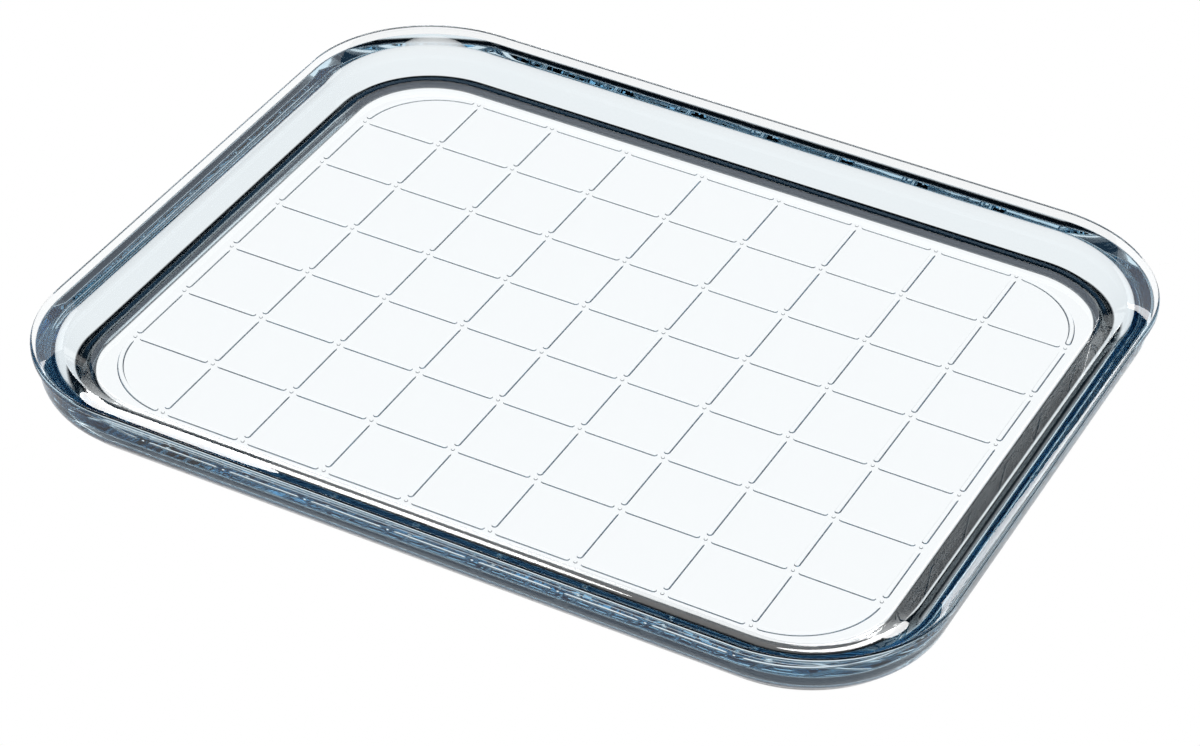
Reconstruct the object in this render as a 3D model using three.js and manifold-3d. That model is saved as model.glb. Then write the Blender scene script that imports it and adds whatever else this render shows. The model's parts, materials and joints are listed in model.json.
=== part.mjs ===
// Clear pressed-glass baking tray, made in one piece: a flat floor, a small cove, a low wall that
// leans well outwards and a heavy lip. Outside, the wall is nearly upright and turns under in a large
// round to a plain foot band. Inside that band the underside is recessed and carries a grid of raised
// broken lines, with a dot at every crossing. Millimetres, +Z up, origin at the middle of the plane
// that the foot band stands on, +X along the long side.

import * as THREE from 'three';
import Module from 'manifold-3d';

const wasm = await Module();
wasm.setup();

// Overall sizes
const LENGTH = 322;
const WIDTH = 263;
const HEIGHT = 18.8;
const CORNER_RADIUS = 50; // of the lip's outer edge, in plan

// Lip
const LIP_WIDTH = 10.6; // inner edge to outer edge, in plan
const LIP_SLOPE = THREE.MathUtils.degToRad(18.5); // its top rises outwards
const LIP_EDGE_THICKNESS = 2.6; // height of its outer face
const LIP_EDGE_RADIUS = 0.9; // rounds that face into the top
const LIP_UNDER_RADIUS = 0.6; // and into the underside
const LIP_INNER_RADIUS = 1.6; // where its top rolls over into the wall
const LIP_ROOT_RADIUS = 1.7; // under it, against the outer wall
const LIP_UNDERSIDE_SLOPE = THREE.MathUtils.degToRad(4);

// Wall and floor
const FLOOR_THICKNESS = 5.9;
const COVE_RADIUS = 3.9; // between the floor and the wall, inside
const INNER_DRAFT = THREE.MathUtils.degToRad(48); // from the vertical
const OUTER_DRAFT = THREE.MathUtils.degToRad(3);

// Foot band
const TURN_INSET = 2.8; // from the lip's outer edge to the foot of the outer wall, in plan
const TURN_HEIGHT = 3.9; // the outer wall's foot stands this high, and a slope leads down from it
const TURN_RUN = 7.6; // plan width of that slope
const TURN_RADIUS = 8.9; // rounds the wall into the slope
const FOOT_EDGE_RADIUS = 2.6; // rounds the slope into the foot band
const FOOT_WIDTH = 5.6;
const STEP_RUN = 4.6; // plan width of the soft step up to the recessed underside
const STEP_RADIUS = 4.6;
const RECESS = 1.6; // height of the underside above the foot plane

// Grid of raised lines under the floor
const GRID_PITCH = 30;
const GRID_MARGIN = 3.5; // least plain band between the outline and the step
const LINE_WIDTH = 0.9;
const LINE_CREST = 0.4;
const LINE_HEIGHT = 0.3;
const LINE_GAP = 2.5; // from a crossing's centre to the nearest tip of a line
const DOT_DIAMETER = 1.2;
const DOT_CREST = 0.6;
const LINE_ROOT = 0.3; // how deep a line is sunk into the floor that it is joined to

// Fineness of the facets
const CORNER_STEPS = 10; // in a quarter turn, in plan
const SECTION_STEP = THREE.MathUtils.degToRad(15); // along an arc of the section
const LEAST_GAP = 0.01; // closer points of the section count as one
const TIP_STEPS = 2; // in the half turn at a line's tip
const DOT_SIDES = 6;
const ARC_LINE_STEPS = 6; // along a line that turns a corner

const GLASS = new THREE.MeshStandardMaterial({
  name: 'clear_glass',
  color: 0xdfeaf0,
  roughness: 0.04,
  metalness: 0,
  transparent: true,
  opacity: 0.35,
});

// Derived places. An inset is measured in plan from the lip's outer edge.
const floorHeight = RECESS + FLOOR_THICKNESS;
// The lip's outer top edge is rounded, so its corner is above the finished height
const lipCornerHeight =
  HEIGHT + LIP_EDGE_RADIUS * (Math.tan(LIP_SLOPE) + 1 / Math.cos(LIP_SLOPE) - 1);
const lipInnerHeight = lipCornerHeight - LIP_WIDTH * Math.tan(LIP_SLOPE);
const wallFootInset = LIP_WIDTH + (lipInnerHeight - floorHeight) * Math.tan(INNER_DRAFT);
const lipUnderHeight = lipCornerHeight - LIP_EDGE_THICKNESS;
const outerWallInset = (height) => TURN_INSET - (height - TURN_HEIGHT) * Math.tan(OUTER_DRAFT);
// The lip's underside falls from its outer edge until it meets the outer wall
const lipRootInset =
  outerWallInset(lipUnderHeight) /
  (1 - Math.tan(LIP_UNDERSIDE_SLOPE) * Math.tan(OUTER_DRAFT));
const lipRootHeight = lipUnderHeight - lipRootInset * Math.tan(LIP_UNDERSIDE_SLOPE);
const footOuterInset = TURN_INSET + TURN_RUN;
const footInnerInset = footOuterInset + FOOT_WIDTH;
const undersideInset = footInnerInset + STEP_RUN;

// The section of the tray, from the floor's edge out over the lip and back under to the recessed
// underside, as corners with the radius that rounds each
const sectionCorners = [
  { inset: wallFootInset + COVE_RADIUS, height: floorHeight, radius: 0 },
  { inset: wallFootInset, height: floorHeight, radius: COVE_RADIUS },
  { inset: LIP_WIDTH, height: lipInnerHeight, radius: LIP_INNER_RADIUS },
  { inset: 0, height: lipCornerHeight, radius: LIP_EDGE_RADIUS },
  { inset: 0, height: lipUnderHeight, radius: LIP_UNDER_RADIUS },
  { inset: lipRootInset, height: lipRootHeight, radius: LIP_ROOT_RADIUS },
  { inset: TURN_INSET, height: TURN_HEIGHT, radius: TURN_RADIUS },
  { inset: footOuterInset, height: 0, radius: FOOT_EDGE_RADIUS },
  { inset: footInnerInset, height: 0, radius: STEP_RADIUS },
  { inset: undersideInset, height: RECESS, radius: STEP_RADIUS },
  { inset: undersideInset + STEP_RUN, height: RECESS, radius: 0 },
];

// The points of a polyline whose corners are rounded by tangent arcs, from the first arc's start to
// the last arc's end. Where two arcs would meet on one leg, both are drawn in to share it.
function roundedSection(corners) {
  const points = corners.map(({ inset, height }) => new THREE.Vector2(CORNER_RADIUS - inset, height));
  const toward = (i, j) => points[j].clone().sub(points[i]).normalize();
  const isEnd = (i) => i === 0 || i === points.length - 1;
  const turns = points.map((_, i) => (isEnd(i) ? 0 : toward(i - 1, i).angleTo(toward(i, i + 1))));
  const reaches = corners.map(({ radius }, i) => radius * Math.tan(turns[i] / 2));
  const legs = points.slice(1).map((point, i) => point.distanceTo(points[i]));
  const legShares = legs.map((leg, i) => Math.min(1, leg / (reaches[i] + reaches[i + 1])));

  const section = [];
  for (let i = 1; i < points.length - 1; i += 1) {
    const share = Math.min(legShares[i - 1], legShares[i]);
    const radius = corners[i].radius * share;
    const back = toward(i, i - 1);
    const ahead = toward(i, i + 1);
    const toCentre = back.clone().add(ahead).normalize();
    const centre = points[i].clone().addScaledVector(toCentre, radius / Math.cos(turns[i] / 2));
    const from = points[i].clone().addScaledVector(back, reaches[i] * share).sub(centre).angle();
    const to = points[i].clone().addScaledVector(ahead, reaches[i] * share).sub(centre).angle();
    const clockwise = back.cross(ahead) > 0;
    const arc = new THREE.ArcCurve(centre.x, centre.y, radius, from, to, clockwise);
    section.push(...arc.getPoints(Math.ceil(turns[i] / SECTION_STEP)));
  }
  return section.filter((point, i) => i === 0 || point.distanceTo(section[i - 1]) > LEAST_GAP);
}

// The tray's plan outline at a distance from its four corner centres, counter-clockwise
function planRing(offset, height) {
  const ring = [];
  for (let corner = 0; corner < 4; corner += 1) {
    const centreX = (LENGTH / 2 - CORNER_RADIUS) * (corner === 0 || corner === 3 ? 1 : -1);
    const centreY = (WIDTH / 2 - CORNER_RADIUS) * (corner < 2 ? 1 : -1);
    for (let step = 0; step <= CORNER_STEPS; step += 1) {
      const turn = (corner + step / CORNER_STEPS) * (Math.PI / 2);
      const x = centreX + offset * Math.cos(turn);
      const y = centreY + offset * Math.sin(turn);
      ring.push(new THREE.Vector3(x, y, height));
    }
  }
  return ring;
}

// A closed solid through a stack of matching rings, from the top one to the bottom one, with a
// flat cap on each end
function loft(rings) {
  const count = rings[0].length;
  const faces = [];
  for (let ring = 0; ring < rings.length - 1; ring += 1) {
    for (let i = 0; i < count; i += 1) {
      const here = ring * count + i;
      const next = ring * count + ((i + 1) % count);
      faces.push(here, here + count, next + count);
      faces.push(here, next + count, next);
    }
  }
  const capFaces = (ring) =>
    THREE.ShapeUtils.triangulateShape(ring.map(({ x, y }) => new THREE.Vector2(x, y)), []);
  const bottom = (rings.length - 1) * count;
  for (const [a, b, c] of capFaces(rings[0])) faces.push(a, b, c);
  for (const [a, b, c] of capFaces(rings[rings.length - 1])) {
    faces.push(bottom + a, bottom + c, bottom + b);
  }
  const vertices = rings.flat().flatMap(({ x, y, z }) => [x, y, z]);
  const vertProperties = new Float32Array(vertices);
  const triVerts = new Uint32Array(faces);
  return new wasm.Manifold(new wasm.Mesh({ numProp: 3, vertProperties, triVerts }));
}

// A low raised mark on the underside: outline(halfWidth) gives its plan, which narrows from the
// width at the floor to the crest
function raisedMark(outline, width, crest) {
  const flankRun = (width - crest) / 2;
  const rootHalf = width / 2 + (flankRun * LINE_ROOT) / LINE_HEIGHT;
  const level = (half, height) => outline(half).map(({ x, y }) => new THREE.Vector3(x, y, height));
  return loft([
    level(rootHalf, RECESS + LINE_ROOT),
    level(crest / 2, RECESS - LINE_HEIGHT),
  ]);
}

// The outline of a line with half-round tips, counter-clockwise round a path of points
function lineOutline(path, half) {
  const side = (points) => {
    const outline = [];
    points.forEach((point, i) => {
      const before = points[Math.max(i - 1, 0)];
      const after = points[Math.min(i + 1, points.length - 1)];
      const heading = after.clone().sub(before).angle();
      const isTip = i === points.length - 1;
      const steps = isTip ? TIP_STEPS : 0;
      for (let step = 0; step <= steps; step += 1) {
        const turn = heading - Math.PI / 2 + (isTip ? (step / TIP_STEPS) * Math.PI : 0);
        outline.push(new THREE.Vector2(point.x + half * Math.cos(turn), point.y + half * Math.sin(turn)));
      }
    });
    return outline;
  };
  const there = side(path);
  const back = side([...path].reverse());
  // Each side starts where the other's tip ends, so that point is kept once
  return [...there.slice(1), ...back.slice(1)];
}

const gridLine = (path) => raisedMark((half) => lineOutline(path, half), LINE_WIDTH, LINE_CREST);

function gridDot(x, y) {
  const outline = (half) =>
    Array.from({ length: DOT_SIDES }, (_, side) => {
      const turn = (side / DOT_SIDES) * 2 * Math.PI;
      return new THREE.Vector2(x + half * Math.cos(turn), y + half * Math.sin(turn));
    });
  return raisedMark(outline, DOT_DIAMETER, DOT_CREST);
}

// The grid: as many whole cells as fit on the recessed underside. Its outline has round corners
// of one cell, every line is broken at each crossing, and a dot marks the crossing.
function gridMarks() {
  const cellsAlong = (span) => Math.floor((span - 2 * (undersideInset + GRID_MARGIN)) / GRID_PITCH);
  const columns = cellsAlong(LENGTH);
  const rows = cellsAlong(WIDTH);
  const columnX = (column) => (column - columns / 2) * GRID_PITCH;
  const rowY = (row) => (row - rows / 2) * GRID_PITCH;
  const tipInset = LINE_GAP + LINE_WIDTH / 2;
  const marks = [];

  for (let row = 0; row <= rows; row += 1) {
    const skipped = row === 0 || row === rows ? 1 : 0;
    for (let column = skipped; column < columns - skipped; column += 1) {
      const start = new THREE.Vector2(columnX(column) + tipInset, rowY(row));
      const end = new THREE.Vector2(columnX(column + 1) - tipInset, rowY(row));
      marks.push(gridLine([start, end]));
    }
  }
  for (let column = 0; column <= columns; column += 1) {
    const skipped = column === 0 || column === columns ? 1 : 0;
    for (let row = skipped; row < rows - skipped; row += 1) {
      const start = new THREE.Vector2(columnX(column), rowY(row) + tipInset);
      const end = new THREE.Vector2(columnX(column), rowY(row + 1) - tipInset);
      marks.push(gridLine([start, end]));
    }
  }
  for (let corner = 0; corner < 4; corner += 1) {
    const centreX = columnX(corner === 0 || corner === 3 ? columns - 1 : 1);
    const centreY = rowY(corner < 2 ? rows - 1 : 1);
    const tipTurn = tipInset / GRID_PITCH;
    const arc = new THREE.Path();
    const quarter = Math.PI / 2;
    arc.absarc(centreX, centreY, GRID_PITCH, corner * quarter + tipTurn, (corner + 1) * quarter - tipTurn);
    marks.push(gridLine(arc.getPoints(ARC_LINE_STEPS / 2)));
  }
  for (let row = 0; row <= rows; row += 1) {
    for (let column = 0; column <= columns; column += 1) {
      const onRowEdge = row === 0 || row === rows;
      const onColumnEdge = column === 0 || column === columns;
      if (!(onRowEdge && onColumnEdge)) marks.push(gridDot(columnX(column), rowY(row)));
    }
  }
  return marks;
}

function glassTray() {
  const section = roundedSection(sectionCorners);
  const body = loft(section.map(({ x, y }) => planRing(x, y)));
  const grid = gridMarks().reduce((marks, mark) => marks.add(mark));
  const { vertProperties, triVerts } = body.add(grid).getMesh();
  const geometry = new THREE.BufferGeometry();
  geometry.setAttribute('position', new THREE.BufferAttribute(vertProperties, 3));
  geometry.setIndex(new THREE.BufferAttribute(triVerts, 1));
  geometry.computeVertexNormals();
  return geometry;
}

const tray = new THREE.Group();
const glass = new THREE.Mesh(glassTray(), GLASS);
glass.name = 'glass_tray';
tray.add(glass);

export default tray;
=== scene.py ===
# %% [markdown]
# # A clear glass baking tray
#
# The tray is pressed in one piece from thick clear glass: a flat floor, a low wall that leans
# outwards, a heavy lip, and a grid of raised broken lines under the floor. The imported CAD model is
# the fixed frame of this scene. It is loaded first, and its outer box sets the tray's overall size.

# %% Load the frame
import json
import math

import bpy
from mathutils import Matrix, Vector

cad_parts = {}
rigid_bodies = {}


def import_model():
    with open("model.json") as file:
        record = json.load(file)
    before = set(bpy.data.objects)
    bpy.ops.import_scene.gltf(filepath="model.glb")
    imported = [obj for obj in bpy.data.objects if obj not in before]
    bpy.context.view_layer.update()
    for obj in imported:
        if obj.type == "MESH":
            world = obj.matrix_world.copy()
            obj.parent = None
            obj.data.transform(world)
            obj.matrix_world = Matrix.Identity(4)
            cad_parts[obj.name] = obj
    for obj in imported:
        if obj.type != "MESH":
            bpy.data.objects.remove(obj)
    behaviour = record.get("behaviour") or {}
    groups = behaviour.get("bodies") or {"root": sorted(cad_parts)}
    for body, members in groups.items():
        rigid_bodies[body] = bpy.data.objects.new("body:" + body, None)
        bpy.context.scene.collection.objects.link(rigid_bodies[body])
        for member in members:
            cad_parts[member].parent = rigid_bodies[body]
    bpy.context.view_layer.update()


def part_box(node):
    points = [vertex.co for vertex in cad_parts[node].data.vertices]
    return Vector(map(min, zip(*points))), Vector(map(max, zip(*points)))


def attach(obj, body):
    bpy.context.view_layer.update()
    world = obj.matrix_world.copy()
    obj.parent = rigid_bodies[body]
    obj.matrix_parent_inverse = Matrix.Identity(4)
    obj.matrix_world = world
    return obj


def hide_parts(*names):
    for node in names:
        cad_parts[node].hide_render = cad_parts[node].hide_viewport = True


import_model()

# %% [markdown]
# ## Sizes
#
# A tray is driven by its section: the outline that a saw cut through the wall would show. The overall
# size is read from the frame, and the sizes of the section are the CAD model's own, in millimetres, so
# that the smooth tray takes the same room as the solid it stands for. Two of them are softer than in
# the solid: the cove between floor and wall is wider, and the lip's top is slightly crowned. They
# hardly show in the outline, but both change how the glass bends and mirrors the light.

# %% Sizes of the tray
MM = 0.001

lowest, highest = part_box("glass_tray")
LENGTH = (highest[0] - lowest[0]) / MM
WIDTH = (highest[1] - lowest[1]) / MM
HEIGHT = (highest[2] - lowest[2]) / MM
CORNER_RADIUS = 50

LIP_WIDTH = 10.6
LIP_SLOPE = math.radians(18.5)
LIP_EDGE_THICKNESS = 2.6
LIP_EDGE_RADIUS = 0.9
LIP_UNDER_RADIUS = 0.6
LIP_INNER_RADIUS = 1.6
LIP_ROOT_RADIUS = 1.7
LIP_UNDERSIDE_SLOPE = math.radians(4)
LIP_CROWN = 0.45
LIP_CROWN_RADIUS = 44

FLOOR_THICKNESS = 5.9
COVE_RADIUS = 6
INNER_DRAFT = math.radians(48)
OUTER_DRAFT = math.radians(3)

TURN_INSET = 2.8
TURN_HEIGHT = 3.9
TURN_RUN = 7.6
TURN_RADIUS = 8.9
FOOT_EDGE_RADIUS = 2.6
FOOT_WIDTH = 5.6
STEP_RUN = 4.6
STEP_RADIUS = 4.6
RECESS = 1.6
print(f"tray {LENGTH:.1f} x {WIDTH:.1f} x {HEIGHT:.1f} mm")

# %% [markdown]
# ## Corners of the section
#
# Every corner of the section is given as an inset from the lip's outer edge, a height above the table
# and a rounding radius. The list starts on the floor, climbs the wall, goes over the lip and comes back
# under the foot to the recessed underside. The lip's corner lies a little above the tray's height,
# because its rounding takes the tip away.

# %% Corners of the section
floor_height = RECESS + FLOOR_THICKNESS
crown_turn = math.atan(LIP_CROWN / (LIP_WIDTH / 2))
edge_slope = LIP_SLOPE - crown_turn
lip_tip = LIP_EDGE_RADIUS * (math.tan(edge_slope) + 1 / math.cos(edge_slope) - 1)
lip_corner_height = HEIGHT + lip_tip
lip_inner_height = lip_corner_height - LIP_WIDTH * math.tan(LIP_SLOPE)
lip_crown_height = (lip_corner_height + lip_inner_height) / 2 + LIP_CROWN
wall_foot_inset = LIP_WIDTH + (lip_inner_height - floor_height) * math.tan(INNER_DRAFT)
lip_under_height = lip_corner_height - LIP_EDGE_THICKNESS
lip_root_inset = (TURN_INSET - (lip_under_height - TURN_HEIGHT) * math.tan(OUTER_DRAFT)) / (
    1 - math.tan(LIP_UNDERSIDE_SLOPE) * math.tan(OUTER_DRAFT)
)
lip_root_height = lip_under_height - lip_root_inset * math.tan(LIP_UNDERSIDE_SLOPE)
foot_outer_inset = TURN_INSET + TURN_RUN
foot_inner_inset = foot_outer_inset + FOOT_WIDTH
underside_inset = foot_inner_inset + STEP_RUN

SECTION = [
    (wall_foot_inset + COVE_RADIUS, floor_height, 0),
    (wall_foot_inset, floor_height, COVE_RADIUS),
    (LIP_WIDTH, lip_inner_height, LIP_INNER_RADIUS),
    (LIP_WIDTH / 2, lip_crown_height, LIP_CROWN_RADIUS),
    (0, lip_corner_height, LIP_EDGE_RADIUS),
    (0, lip_under_height, LIP_UNDER_RADIUS),
    (lip_root_inset, lip_root_height, LIP_ROOT_RADIUS),
    (TURN_INSET, TURN_HEIGHT, TURN_RADIUS),
    (foot_outer_inset, 0, FOOT_EDGE_RADIUS),
    (foot_inner_inset, 0, STEP_RADIUS),
    (underside_inset, RECESS, STEP_RADIUS),
    (underside_inset + STEP_RUN, RECESS, 0),
]
print(f"section of {len(SECTION)} corners, lip's inner edge {lip_inner_height:.2f} mm high")

# %% [markdown]
# ## Drawing with one point
#
# A plane merged to its middle leaves a single vertex, and that vertex can draw: extruding it makes a
# straight edge, and spinning it about a centre makes an arc. All the outlines of the tray are drawn
# with these two moves, as on a drawing board. A curve object could do the same, but its arcs are only
# near-circles and it would have to be converted to a mesh before the next step.

# %% A pen made of one vertex
def deselect_everything():
    if bpy.context.mode != "OBJECT":
        bpy.ops.object.mode_set(mode="OBJECT")
    bpy.ops.object.select_all(action="DESELECT")


def start_drawing(name, point):
    deselect_everything()
    bpy.ops.mesh.primitive_plane_add(size=MM, location=(0, 0, 0))
    piece = bpy.context.object
    piece.name = piece.data.name = name
    bpy.ops.object.mode_set(mode="EDIT")
    bpy.ops.mesh.select_mode(type="VERT")
    bpy.ops.mesh.select_all(action="SELECT")
    bpy.ops.mesh.merge(type="CENTER")
    bpy.ops.transform.translate(value=point)
    return piece


def draw_line(step):
    bpy.ops.mesh.extrude_vertices_move(TRANSFORM_OT_translate={"value": step})


def draw_arc(centre, axis, angle, steps):
    """Draws an arc that turns right-handed about the axis. The spin tool turns the other way."""
    bpy.ops.mesh.spin(steps=steps, angle=angle, center=centre, axis=-Vector(axis))


# %% [markdown]
# ## The wall's section
#
# Each corner of the outline is rounded by an arc that touches both of its legs, because pressed glass
# has no sharp edge anywhere: the mould's corners are round and a flame softens the rest. A bevel could
# round them as well, but every corner has a radius of its own, and an arc takes it directly.

# %% Round a corner of the section
SECTION_STEP = math.radians(5)
ACROSS = Vector((0, -1, 0))
UP = Vector((0, 0, 1))

centre_x = LENGTH / 2 - CORNER_RADIUS
centre_y = WIDTH / 2 - CORNER_RADIUS


def in_section(inset, height):
    return Vector((centre_x + CORNER_RADIUS - inset, centre_y, height)) * MM


def rounded_corner(before, corner, after, radius):
    """The first point, centre and signed turn of the arc that rounds a corner in the section."""
    back = (before - corner).normalized()
    ahead = (after - corner).normalized()
    turn = math.pi - back.angle(ahead)
    start = corner + back * radius * math.tan(turn / 2)
    centre = corner + (back + ahead).normalized() * radius / math.cos(turn / 2)
    left_turn = back.cross(ahead).y > 0
    return start, centre, turn if left_turn else -turn


points = [in_section(inset, height) for inset, height, _ in SECTION]
arcs = [
    rounded_corner(points[i - 1], points[i], points[i + 1], SECTION[i][2] * MM)
    for i in range(1, len(points) - 1)
]
print(f"{len(arcs)} corners of the section are rounded")

# %% Draw the section
MERGE_GAP = 0.01

tray = start_drawing("baking_tray", points[0])
pen = points[0]
for start, centre, turn in arcs:
    draw_line(start - pen)
    draw_arc(centre, ACROSS, turn, math.ceil(abs(turn) / SECTION_STEP))
    pen = centre + Matrix.Rotation(turn, 3, ACROSS) @ (start - centre)
draw_line(points[-1] - pen)
bpy.ops.mesh.select_all(action="SELECT")
bpy.ops.mesh.remove_doubles(threshold=MERGE_GAP * MM)
bpy.ops.object.mode_set(mode="OBJECT")
heights = [vertex.co.z / MM for vertex in tray.data.vertices]
print(f"section of {len(heights)} points, {min(heights):.2f} to {max(heights):.2f} mm high")

# %% [markdown]
# ## From the section to the tray
#
# The wall is the same section all the way round, so one corner is swept as a quarter turn and its two
# ends are drawn out straight to the middle of the sides. That quarter is mirrored twice, and the two
# open rings that are left are closed by the flat floor and the flat underside. A curve with the section
# as its bevel would do it in one go, but its corners are only as round as the curve's handles make them.

# %% Sweep one corner and draw out its sides
CORNER_STEPS = 30
SAME_PLACE = 0.001


def select_where(piece, test):
    """Selects the vertices of a piece in edit mode that pass a test of their place."""
    bpy.ops.object.mode_set(mode="OBJECT")
    for polygon in piece.data.polygons:
        polygon.select = False
    for edge in piece.data.edges:
        edge.select = False
    for vertex in piece.data.vertices:
        vertex.select = test(vertex.co)
    bpy.ops.object.mode_set(mode="EDIT")
    bpy.ops.mesh.select_mode(type="VERT")


bpy.ops.object.mode_set(mode="EDIT")
bpy.ops.mesh.select_all(action="SELECT")
draw_arc(Vector((centre_x, centre_y, 0)) * MM, UP, math.pi / 2, CORNER_STEPS)

select_where(tray, lambda place: abs(place.y - centre_y * MM) < SAME_PLACE * MM)
bpy.ops.mesh.extrude_region_move(TRANSFORM_OT_translate={"value": (0, -centre_y * MM, 0)})
select_where(tray, lambda place: abs(place.x - centre_x * MM) < SAME_PLACE * MM)
bpy.ops.mesh.extrude_region_move(TRANSFORM_OT_translate={"value": (-centre_x * MM, 0, 0)})
bpy.ops.object.mode_set(mode="OBJECT")
print(f"a quarter of the wall has {len(tray.data.polygons)} faces")

# %% Mirror the quarter and close the floor
def apply_modifier(piece, kind, **settings):
    deselect_everything()
    piece.select_set(True)
    bpy.context.view_layer.objects.active = piece
    modifier = piece.modifiers.new(kind.title(), kind)
    for setting, value in settings.items():
        setattr(modifier, setting, value)
    bpy.ops.object.modifier_apply(modifier=modifier.name)


apply_modifier(tray, "MIRROR", use_axis=(True, True, False), merge_threshold=MERGE_GAP * MM)
bpy.ops.object.mode_set(mode="EDIT")
bpy.ops.mesh.select_all(action="DESELECT")
bpy.ops.mesh.select_non_manifold()
bpy.ops.mesh.fill_holes(sides=0)
bpy.ops.mesh.select_all(action="SELECT")
bpy.ops.mesh.remove_doubles(threshold=MERGE_GAP * MM)
bpy.ops.mesh.normals_make_consistent(inside=False)
bpy.ops.object.mode_set(mode="OBJECT")
print("the tray's body:", [round(side / MM, 2) for side in tray.dimensions], "mm")

# %% [markdown]
# ## The grid under the floor
#
# Broken lines of raised glass mark squares of 30 mm under the floor, with a dot where the lines would
# cross and a quarter circle at each corner of the grid. They are cut into the mould as shallow round
# grooves, so a line is a low ridge with a round crest and round tips. Such a ridge bends the light
# aside along its flanks, which is why a line shows as a fine dark stroke.

# %% Sizes of the grid
GRID_PITCH = 30
COLUMNS = 9
ROWS = 7
LINE_HEIGHT = 0.5
LINE_CREST_RADIUS = 1.5
LINE_GAP = 1.8
DOT_CREST_RADIUS = 0.8
MARK_SIDE_SLOPE = math.radians(54)
MARK_ROOT = 0.3

line_width = 2 * LINE_CREST_RADIUS * math.sin(MARK_SIDE_SLOPE)
dot_diameter = 2 * DOT_CREST_RADIUS * math.sin(MARK_SIDE_SLOPE)
tip_inset = LINE_GAP + line_width / 2
line_run = GRID_PITCH - 2 * tip_inset
root_height = RECESS + MARK_ROOT


def on_grid(column, row):
    across = (column - COLUMNS / 2) * GRID_PITCH
    along = (row - ROWS / 2) * GRID_PITCH
    return Vector((across, along, root_height)) * MM


line_length = GRID_PITCH - 2 * LINE_GAP
print(f"{COLUMNS} x {ROWS} squares, lines of {line_length:.1f} x {line_width:.1f} mm")

# %% [markdown]
# ## Raising a mark
#
# A mark starts as a flat outline just inside the floor. It is closed to a face, drawn out downwards
# through the underside, and then inset in steps along an arc, each step lower and flatter than the one
# before. That gives the round crest. What is left of the face in the end is a sliver, so its points
# are merged to a ridge line. A round profile swept along the line would give the same ridge, but its
# tips would have to be made apart.

# %% Raise a mark
CREST_STEPS = 5
CREST_LEFT = 0.04
CREST_MERGE_GAP = 3 * CREST_LEFT


def raise_mark(piece, crest_radius):
    """Closes a drawn outline, roots it in the floor and narrows it in steps to a round crest."""
    bpy.ops.mesh.select_all(action="SELECT")
    bpy.ops.mesh.remove_doubles(threshold=SAME_PLACE * MM)
    bpy.ops.mesh.edge_face_add()
    crest_rise = crest_radius * (1 - math.cos(MARK_SIDE_SLOPE))
    sink = MARK_ROOT + LINE_HEIGHT - crest_rise
    bpy.ops.mesh.extrude_region_move(TRANSFORM_OT_translate={"value": (0, 0, -sink * MM)})
    bpy.ops.mesh.select_all(action="SELECT")
    bpy.ops.mesh.normals_make_consistent(inside=False)
    select_where(piece, lambda place: place.z < (root_height - sink / 2) * MM)
    for step in range(CREST_STEPS):
        slope = MARK_SIDE_SLOPE * (1 - step / CREST_STEPS)
        next_slope = MARK_SIDE_SLOPE * (1 - (step + 1) / CREST_STEPS)
        narrowing = crest_radius * (math.sin(slope) - math.sin(next_slope))
        if step == CREST_STEPS - 1:
            narrowing -= CREST_LEFT
        rise = crest_radius * (math.cos(next_slope) - math.cos(slope))
        bpy.ops.mesh.inset(thickness=narrowing * MM, depth=rise * MM)
    bpy.ops.mesh.remove_doubles(threshold=CREST_MERGE_GAP * MM)
    bpy.ops.object.mode_set(mode="OBJECT")
    print(f"{piece.name}: {len(piece.data.polygons)} faces")
    return piece


# %% Draw the kinds of mark
TIP_STEPS = 4
DOT_STEPS = 12
ARC_STEPS = 24


def draw_bar(name, start, along):
    """A straight line with half-round tips, from the centre of one tip to the other's."""
    aside = along.cross(UP).normalized() * line_width / 2 * MM
    bar = start_drawing(name, start + aside)
    draw_line(along)
    draw_arc(start + along, UP, math.pi, TIP_STEPS)
    draw_line(-along)
    draw_arc(start, UP, math.pi, TIP_STEPS)
    return raise_mark(bar, LINE_CREST_RADIUS)


def draw_corner_line(name):
    """The quarter circle at the grid's corner, with the same half-round tips."""
    middle = on_grid(COLUMNS - 1, ROWS - 1)
    from_tip = tip_inset / GRID_PITCH
    turn = math.pi / 2 - 2 * from_tip

    def on_circle(radius, angle):
        return middle + Vector((math.cos(angle), math.sin(angle), 0)) * radius * MM

    line = start_drawing(name, on_circle(GRID_PITCH + line_width / 2, from_tip))
    draw_arc(middle, UP, turn, ARC_STEPS)
    draw_arc(on_circle(GRID_PITCH, from_tip + turn), UP, math.pi, TIP_STEPS)
    draw_arc(middle, UP, -turn, ARC_STEPS)
    draw_arc(on_circle(GRID_PITCH, from_tip), UP, math.pi, TIP_STEPS)
    return raise_mark(line, LINE_CREST_RADIUS)


def draw_dot(name, place):
    dot = start_drawing(name, place + Vector((dot_diameter / 2, 0, 0)) * MM)
    draw_arc(place, UP, math.tau, DOT_STEPS)
    return raise_mark(dot, DOT_CREST_RADIUS)


# %% Draw one mark of each kind
inset_x = Vector((tip_inset, 0, 0)) * MM
inset_y = Vector((0, tip_inset, 0)) * MM
run_x = Vector((line_run, 0, 0)) * MM
run_y = Vector((0, line_run, 0)) * MM
cross_line = draw_bar("cross_line", on_grid(0, 1) + inset_x, run_x)
long_line = draw_bar("long_line", on_grid(1, 0) + inset_y, run_y)
corner_line = draw_corner_line("corner_line")
dot = draw_dot("dot", on_grid(0, 1))

# %% [markdown]
# ## Setting the marks out
#
# Each kind of mark is raised once, and arrays set it out in rows and columns, which keeps the marks
# alike and on one pitch. The outermost lines leave out the corner squares, where the quarter circles
# go, so they are copies with arrays of their own. In the end all marks are joined to one object.

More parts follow.
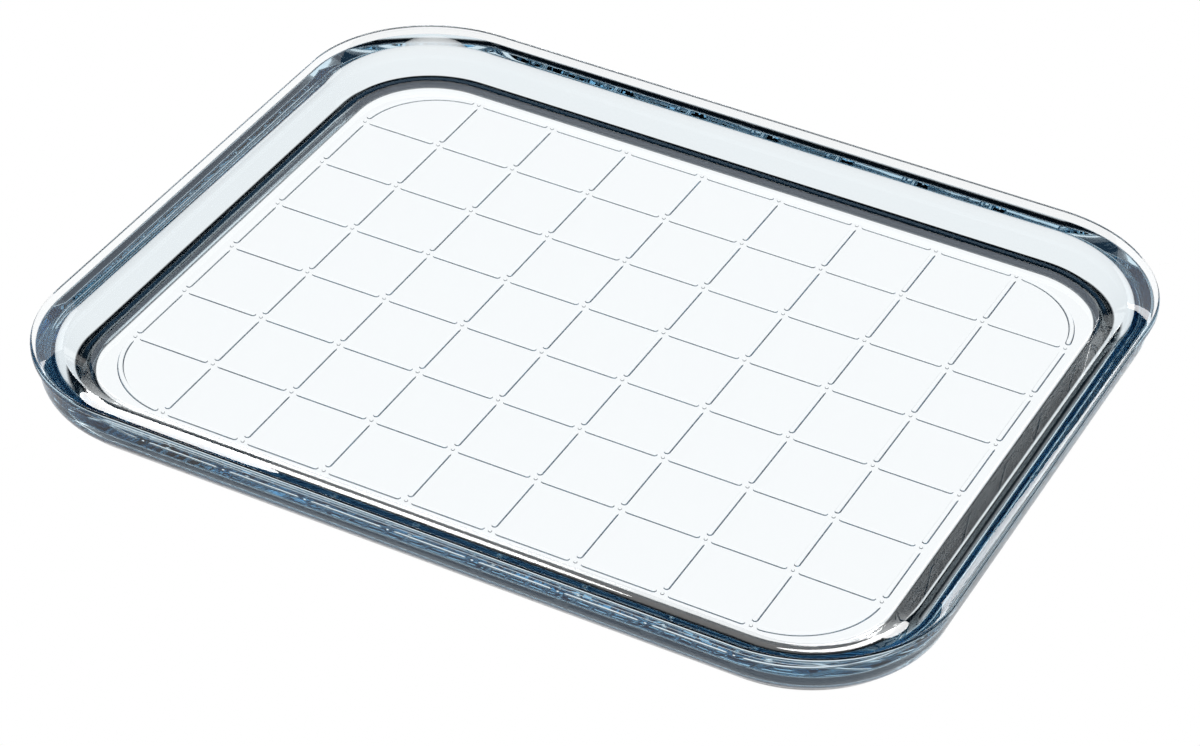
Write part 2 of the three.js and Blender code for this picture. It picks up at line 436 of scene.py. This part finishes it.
# %% Set the marks out in rows
def copy_of(piece, columns, rows):
    """A copy with its own mesh, moved over by some squares of the grid."""
    deselect_everything()
    piece.select_set(True)
    bpy.context.view_layer.objects.active = piece
    bpy.ops.object.duplicate()
    copy = bpy.context.object
    bpy.ops.transform.translate(value=Vector((columns, rows, 0)) * GRID_PITCH * MM)
    bpy.ops.object.transform_apply(location=True, rotation=False, scale=False)
    return copy


def set_out(piece, columns, rows, column_step=1, row_step=1):
    step_x = Vector((column_step * GRID_PITCH, 0, 0)) * MM
    step_y = Vector((0, row_step * GRID_PITCH, 0)) * MM
    for count, step in ((columns, step_x), (rows, step_y)):
        apply_modifier(
            piece,
            "ARRAY",
            count=count,
            use_relative_offset=False,
            use_constant_offset=True,
            constant_offset_displace=step,
        )


outer_cross_lines = copy_of(cross_line, 1, -1)
outer_long_lines = copy_of(long_line, -1, 1)
outer_dots = copy_of(dot, 1, -1)
set_out(cross_line, COLUMNS, ROWS - 1)
set_out(outer_cross_lines, COLUMNS - 2, 2, row_step=ROWS)
set_out(long_line, COLUMNS - 1, ROWS)
set_out(outer_long_lines, 2, ROWS - 2, column_step=COLUMNS)
set_out(dot, COLUMNS + 1, ROWS - 1)
set_out(outer_dots, COLUMNS - 1, 2, row_step=ROWS)
apply_modifier(corner_line, "MIRROR", use_axis=(True, True, False), use_mirror_merge=False)
print(f"marks set out on {COLUMNS + 1} x {ROWS + 1} crossings")

# %% Join the marks
deselect_everything()
marks = [cross_line, outer_cross_lines, long_line, outer_long_lines, dot, outer_dots, corner_line]
for mark in marks:
    mark.select_set(True)
bpy.context.view_layer.objects.active = cross_line
bpy.ops.object.join()
grid = bpy.context.object
grid.name = grid.data.name = "grid_marks"
print("grid marks:", [round(side / MM, 2) for side in grid.dimensions], "mm")

# %% [markdown]
# ## One piece of glass
#
# The marks and the tray are one pour of glass, so they are united into a single closed surface. Marks
# that only pushed into the floor would leave faces inside the glass, and light would bend at each of
# them. The shading is smooth, with normals weighted by the size of the faces, which keeps the flat
# floor flat beside its small round marks.

# %% Unite the marks with the tray
EVEN_WEIGHT = 50

apply_modifier(tray, "BOOLEAN", operation="UNION", solver="EXACT", object=grid)
bpy.data.objects.remove(grid)
deselect_everything()
tray.select_set(True)
bpy.context.view_layer.objects.active = tray
bpy.ops.object.shade_smooth()
apply_modifier(tray, "WEIGHTED_NORMAL", mode="FACE_AREA", weight=EVEN_WEIGHT, keep_sharp=False)
triangles = sum(len(polygon.vertices) - 2 for polygon in tray.data.polygons)
sides = [round(side / MM, 2) for side in tray.dimensions]
print(f"one piece of glass: {triangles} triangles, {sides} mm")

# %% [markdown]
# ## Clear glass
#
# The tray is taken to be borosilicate oven glass, which bends light a little less than window glass. A
# picture can't prove that. The faint blue tint only shows where light runs a long way through the
# glass, as round the lip and the corners. So the surface itself is colourless, and the tint is an
# absorption inside the glass that takes most from red. A tinted surface would be simpler, but it would
# colour the thin floor as much as the thick lip.

# %% The glass and its tint
GLASS_IOR = 1.473
ABSORPTION = Vector((8.5, 4, 1.8))

glass = bpy.data.materials.new("clear_glass")
glass.use_nodes = True
glass_nodes = glass.node_tree.nodes
glass_links = glass.node_tree.links
glass_shader = glass_nodes["Principled BSDF"]
glass_shader.inputs["Base Color"].default_value = (1, 1, 1, 1)
glass_shader.inputs["Roughness"].default_value = 0
glass_shader.inputs["IOR"].default_value = GLASS_IOR
glass_shader.inputs["Transmission Weight"].default_value = 1
strongest = max(ABSORPTION)
tint = glass_nodes.new("ShaderNodeVolumeAbsorption")
tint.inputs["Density"].default_value = strongest
tint.inputs["Color"].default_value = (*(1 - rate / strongest for rate in ABSORPTION), 1)
glass_links.new(tint.outputs["Volume"], glass_nodes["Material Output"].inputs["Volume"])
print("glass takes up, per metre of red, green and blue light:", tuple(ABSORPTION))

# %% [markdown]
# ## Ripple and reflections
#
# Pressed glass is never quite even, so a slow noise ripples the surface by a few hundredths of a
# millimetre. Light that enters the lip can run the whole length of the tray before it comes out,
# mirrored again and again by the two faces of the floor, so more reflections are followed than usual.
# Too few would leave the lip black where the real one is blue.

# %% The ripple
WAVE_SCALE = 30
WAVE_HEIGHT = 0.04

waves = glass_nodes.new("ShaderNodeTexNoise")
waves.inputs["Scale"].default_value = WAVE_SCALE
ripple = glass_nodes.new("ShaderNodeBump")
ripple.inputs["Distance"].default_value = WAVE_HEIGHT * MM
place_on_glass = glass_nodes.new("ShaderNodeTexCoord")
glass_links.new(place_on_glass.outputs["Object"], waves.inputs["Vector"])
glass_links.new(waves.outputs["Fac"], ripple.inputs["Height"])
glass_links.new(ripple.outputs["Normal"], glass_shader.inputs["Normal"])
print(f"ripple of {WAVE_HEIGHT} mm, about {1 / WAVE_SCALE / MM:.0f} mm from wave to wave")

# %% Put the glass on the tray
GLASS_BOUNCES = 24

tray.data.materials.clear()
tray.data.materials.append(glass)

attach(tray, "root")
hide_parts("glass_tray")
light_paths = bpy.context.scene.cycles
light_paths.max_bounces = GLASS_BOUNCES
light_paths.glossy_bounces = GLASS_BOUNCES
light_paths.transmission_bounces = GLASS_BOUNCES
print(f"{tray.name} is {glass.name}, followed through {GLASS_BOUNCES} reflections")

# %% [markdown]
# ## Camera
#
# The tray is seen from the front right and from above, with a long lens, so its sides hardly run
# together. The camera is placed and then aimed at a point near the middle of the floor, and it leans a
# little to one side, as the picture's horizon does.

# %% The camera
CAMERA_PLACE = Vector((444.25, -916.25, 756.21)) * MM
CAMERA_AIM = Vector((7.02, -15.51, 4.66)) * MM
CAMERA_ROLL = math.radians(2.622)
CAMERA_LENS = 114.42
SENSOR_WIDTH = 36

bpy.ops.object.camera_add(location=CAMERA_PLACE)
camera = bpy.context.object
camera.name = "camera"
camera.data.lens = CAMERA_LENS
camera.data.sensor_width = SENSOR_WIDTH
view = CAMERA_AIM - CAMERA_PLACE
towards = view.to_track_quat("-Z", "Y").to_matrix()
camera.rotation_euler = (towards @ Matrix.Rotation(CAMERA_ROLL, 3, "Z")).to_euler()
bpy.context.scene.camera = camera
print(f"camera {view.length:.3f} m from its aim point, lens {CAMERA_LENS} mm")

# %% [markdown]
# ## Light table
#
# Clear glass is hardly seen by the light that falls on it. It is drawn by what shows through it, so it
# stands on a plain white table that glows evenly, and the floor of the tray shows that white. Right
# under the foot hardly any light gets in, so a painted contact shadow darkens the table's glow there:
# an ambient occlusion node dims it where the glass comes close. A table lit by lamps could be as white,
# but the glass would mirror every lamp.

# %% The table
TABLE_SIZE = 12
TABLE_DROP = 0.02
CONTACT_SHADOW = 1.1
SHADOW_SAMPLES = 16
FULL_SHADOW = 0.55

deselect_everything()
bpy.ops.mesh.primitive_plane_add(size=TABLE_SIZE, location=(0, 0, -TABLE_DROP * MM))
table = bpy.context.object
table.name = "table"
white = bpy.data.materials.new("white_table")
white.use_nodes = True
white_nodes = white.node_tree.nodes
white_links = white.node_tree.links
white_nodes.clear()
# Painted contact shadow: ambient occlusion dims the table's glow where the glass is near, and the map
# range makes it fully dark where the glass is closest.
shadow = white_nodes.new("ShaderNodeAmbientOcclusion")
shadow.samples = SHADOW_SAMPLES
shadow.inputs["Distance"].default_value = CONTACT_SHADOW * MM
glow = white_nodes.new("ShaderNodeEmission")
surface = white_nodes.new("ShaderNodeOutputMaterial")
depth = white_nodes.new("ShaderNodeMapRange")
depth.inputs["From Min"].default_value = FULL_SHADOW
white_links.new(shadow.outputs["AO"], depth.inputs["Value"])
white_links.new(depth.outputs["Result"], glow.inputs["Strength"])
white_links.new(glow.outputs["Emission"], surface.inputs["Surface"])
table.data.materials.append(white)
print(f"{table.name}: {TABLE_SIZE} m square, shadow within {CONTACT_SHADOW} mm of the glass")

# %% [markdown]
# ## Dim room
#
# The rounded edges of the tray bend the view up into the room or along the glass, and they draw the
# tray's outline only if the room is darker than the table. So a low white backdrop all round hides
# where the table ends, and above it the room is a very dim blue. The change from one to the other
# depends only on how high a ray points.

# %% The room
BACKDROP_COLOUR = (1, 1, 1, 1)
ROOM_COLOUR = (0.014, 0.03, 0.05, 1)
BACKDROP_TOP = math.radians(6)
BACKDROP_FADE = math.radians(1)

room = bpy.data.worlds.new("room")
bpy.context.scene.world = room
room.use_nodes = True
room_nodes = room.node_tree.nodes
room_links = room.node_tree.links
direction = room_nodes.new("ShaderNodeTexCoord")
parts = room_nodes.new("ShaderNodeSeparateXYZ")
above = room_nodes.new("ShaderNodeMapRange")
above.inputs["From Min"].default_value = math.sin(BACKDROP_TOP - BACKDROP_FADE)
above.inputs["From Max"].default_value = math.sin(BACKDROP_TOP + BACKDROP_FADE)
paint = room_nodes.new("ShaderNodeMix")
paint.data_type = "RGBA"
paint.inputs["A"].default_value = BACKDROP_COLOUR
paint.inputs["B"].default_value = ROOM_COLOUR
room_links.new(direction.outputs["Generated"], parts.inputs["Vector"])
room_links.new(parts.outputs["Z"], above.inputs["Value"])
room_links.new(above.outputs["Result"], paint.inputs["Factor"])
room_links.new(paint.outputs["Result"], room_nodes["Background"].inputs["Color"])
bpy.context.scene.view_settings.view_transform = "Standard"
print(f"white backdrop up to {math.degrees(BACKDROP_TOP):.0f} degrees, dim room above it")

# %% [markdown]
# ## Soft boxes
#
# Soft boxes stand behind the tray, where a polished surface mirrors them to the camera. The large one
# lays an even sheen on the flat floor, two low ones draw the white stripes on the lip, and a thin one
# lights the lip's outer edge. Their faces are ellipses, so that a highlight runs out to a point, and
# they are left out of the view through the glass. A lamp's power is worked out from how bright its
# face should look, because that is what a mirror image shows.

# %% The soft boxes
def soft_box(name, azimuth, elevation, distance, size, brightness):
    """An elliptical lamp that faces the tray, seen in a direction given in degrees."""
    turn = math.radians(azimuth)
    lift = math.radians(elevation)
    level = Vector((math.sin(turn), math.cos(turn), 0))
    towards_lamp = level * math.cos(lift) + UP * math.sin(lift)
    deselect_everything()
    bpy.ops.object.light_add(type="AREA", location=towards_lamp * distance)
    lamp = bpy.context.object
    lamp.name = lamp.data.name = name
    lamp.rotation_euler = towards_lamp.to_track_quat("Z", "Y").to_euler()
    lamp.data.shape = "ELLIPSE"
    lamp.data.size, lamp.data.size_y = size
    face_area = math.pi / 4 * size[0] * size[1]
    lamp.data.energy = brightness * math.pi * face_area
    lamp.visible_camera = False
    lamp.visible_transmission = False
    print(f"{name}: {size[0]} x {size[1]} m at {distance} m, brightness {brightness}")


soft_box("sheen_box", azimuth=-26, elevation=39, distance=2.5, size=(2.6, 1.3), brightness=1.6)
soft_box("lip_box", azimuth=-27, elevation=3.5, distance=1.8, size=(0.57, 0.18), brightness=7)
soft_box("corner_box", azimuth=-30.5, elevation=8, distance=1.8, size=(0.17, 0.28), brightness=7)
soft_box("edge_box", azimuth=-33, elevation=25.5, distance=2.2, size=(0.8, 0.11), brightness=6)
